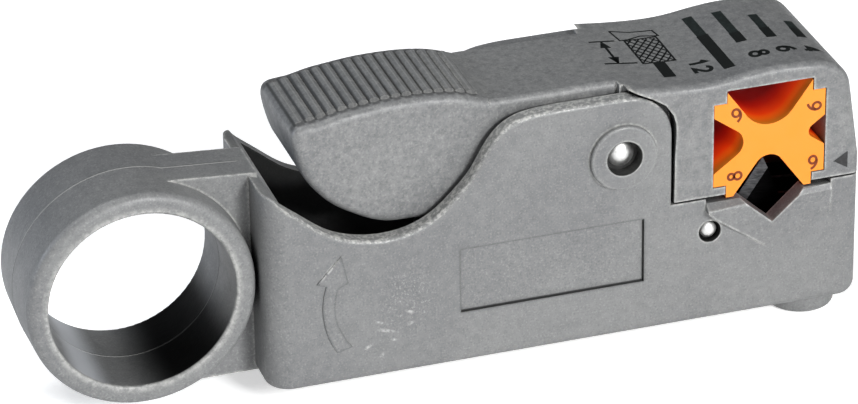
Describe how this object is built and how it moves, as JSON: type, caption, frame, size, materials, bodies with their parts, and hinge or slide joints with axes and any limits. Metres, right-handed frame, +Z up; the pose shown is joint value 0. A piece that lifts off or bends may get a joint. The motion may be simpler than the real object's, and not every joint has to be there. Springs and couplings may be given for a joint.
{
  "type": "coaxial cable stripper",
  "caption": "Hand tool that cuts the jacket, braid and core insulation of a coaxial cable: finger ring, hollow body, sprung thumb lever with a front jaw, and a reversible notched block.",
  "frame": {"origin": "middle of the tool's length and width, on the plane it stands on (the underside of the screw boss)", "axes": "+X along the tool from the finger ring to the jaws, +Y across the tool from its printed front face to its back face, +Z up"},
  "size_m": [0.1006, 0.022, 0.0369],
  "materials": {
    "body_plastic": "grey moulded nylon with a fine matt grain, rims rubbed smoother",
    "lever_plastic": "grey moulded nylon with a fine matt grain, rims rubbed smoother",
    "block_plastic": "orange moulded plastic, satin",
    "pin_steel": "turned bright steel",
    "blade_steel": "hardened strip steel with one ground bevel",
    "spacer_steel": "plain steel tube",
    "screw_steel": "black oxide",
    "spring_steel": "drawn spring wire"
  },
  "bodies": {
    "handle": {"body": "body_plastic", "pivot_pin": "pin_steel", "blade_pin": "pin_steel", "blade_spacer_1": "spacer_steel", "blade_spacer_2": "spacer_steel", "blade_spacer_3": "spacer_steel", "blade_spacer_4": "spacer_steel", "return_spring": "spring_steel"},
    "lever": {"jaw_lever": "lever_plastic"},
    "block": {"cable_block": "block_plastic"},
    "screw_1": {"depth_screw_1": "screw_steel"},
    "cutter_1": {"blade_1": "blade_steel"},
    "screw_2": {"depth_screw_2": "screw_steel"},
    "cutter_2": {"blade_2": "blade_steel"},
    "screw_3": {"depth_screw_3": "screw_steel"},
    "cutter_3": {"blade_3": "blade_steel"}
  },
  "joints": [
    {"name": "lever_hinge", "type": "hinge", "parent": "handle", "child": "lever", "pos_m": [0.0205, 0, 0.02645], "axis": [0, -1, 0], "range_deg": [0, 8], "stiffness_Nm_per_rad": 0.5, "springref_deg": -17.19, "deforming": ["return_spring"]},
    {"name": "block_slide", "type": "slide", "parent": "lever", "child": "block", "axis": [0, -1, 0], "range_m": [0, 0.022]},
    {"name": "screw_slide_1", "type": "slide", "parent": "handle", "child": "screw_1", "axis": [0, 0, 1], "range_m": [-0.0005, 0.0005]},
    {"name": "blade_hinge_1", "type": "hinge", "parent": "handle", "child": "cutter_1", "pos_m": [0.03145, 0, 0.0146], "axis": [0, -1, 0], "range_deg": [-2.3, 2.3]},
    {"name": "screw_slide_2", "type": "slide", "parent": "handle", "child": "screw_2", "axis": [0, 0, 1], "range_m": [-0.0005, 0.0005]},
    {"name": "blade_hinge_2", "type": "hinge", "parent": "handle", "child": "cutter_2", "pos_m": [0.03145, 0, 0.0146], "axis": [0, -1, 0], "range_deg": [-2.3, 2.3]},
    {"name": "screw_slide_3", "type": "slide", "parent": "handle", "child": "screw_3", "axis": [0, 0, 1], "range_m": [-0.0005, 0.0005]},
    {"name": "blade_hinge_3", "type": "hinge", "parent": "handle", "child": "cutter_3", "pos_m": [0.03145, 0, 0.0146], "axis": [0, -1, 0], "range_deg": [-2.3, 2.3]}
  ],
  "couplings": [
    {"joint": "blade_hinge_1", "follows": "screw_slide_1", "rad_per_m": 71.17},
    {"joint": "blade_hinge_2", "follows": "screw_slide_2", "rad_per_m": 71.17},
    {"joint": "blade_hinge_3", "follows": "screw_slide_3", "rad_per_m": 71.17}
  ]
}
